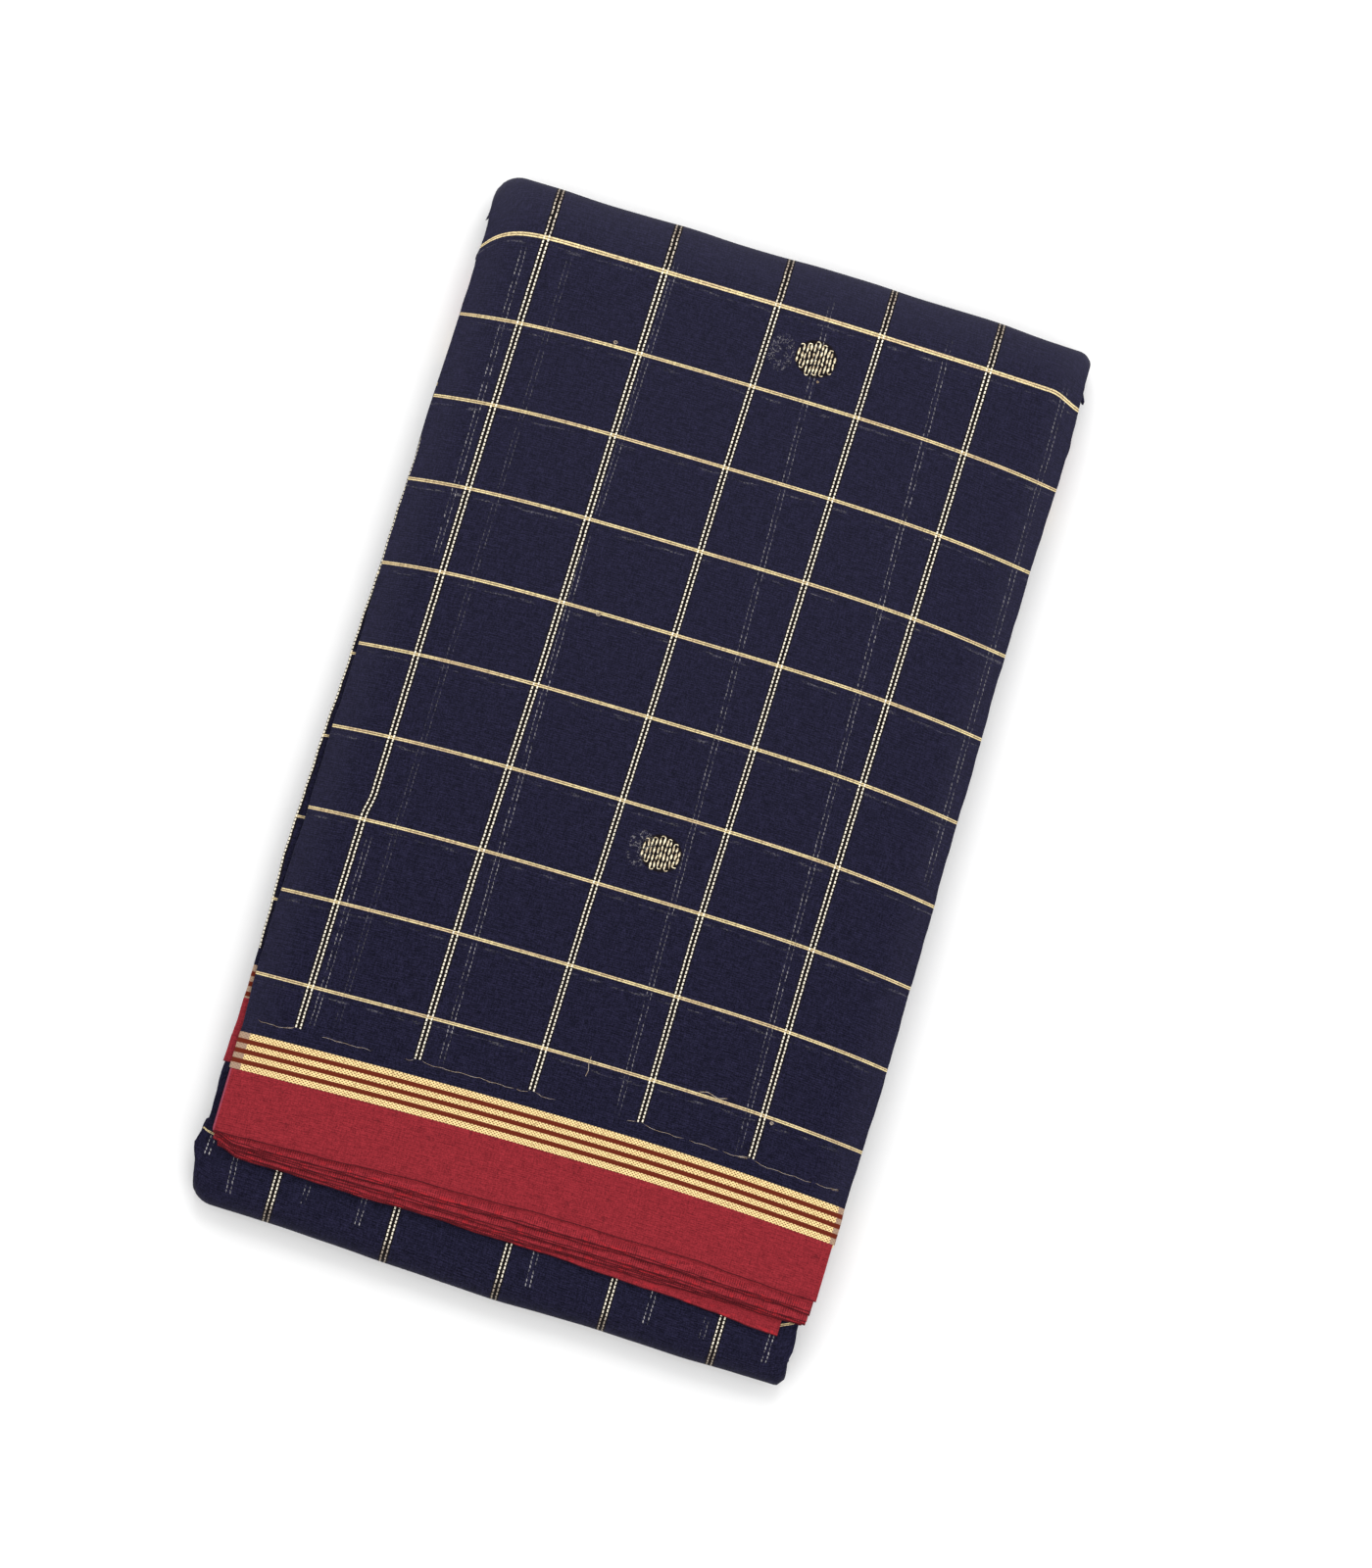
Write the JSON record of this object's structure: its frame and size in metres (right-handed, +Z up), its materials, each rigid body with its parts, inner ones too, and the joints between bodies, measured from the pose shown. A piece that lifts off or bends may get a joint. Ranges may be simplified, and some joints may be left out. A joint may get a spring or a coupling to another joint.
{
  "type": "folded saree",
  "caption": "Cotton saree folded flat: navy cloth with gold checks, gold band and red border, lapped lengthwise, then folded in three.",
  "frame": {"origin": "on the underside, below the middle of the pack's box", "axes": "+Y along the pack towards the thick fold at its head, +X across it with +Y ahead, +Z up from the surface that it lies on"},
  "size_m": [0.2276, 0.389, 0.0239],
  "materials": {
    "navy_cloth": "matt fine cotton with a gold thread check",
    "zari_band": "metallic gold thread stripes with thin dark red lines",
    "red_border": "matt plain woven cotton"
  },
  "bodies": {
    "root": {"hidden_laps": "navy_cloth", "field_top": "navy_cloth", "zari_band_top": "zari_band", "red_border_top": "red_border", "red_lap_2": "red_border", "red_lap_3": "red_border", "red_lap_4": "red_border", "red_lap_5": "red_border", "slipped_lap_field": "navy_cloth", "slipped_lap_zari": "zari_band", "slipped_lap_red": "red_border", "field_under": "navy_cloth", "zari_band_under": "zari_band", "red_border_under": "red_border", "under_lap_2": "red_border", "under_lap_3": "red_border", "under_lap_4": "red_border", "under_lap_5": "red_border"}
  },
  "joints": []
}
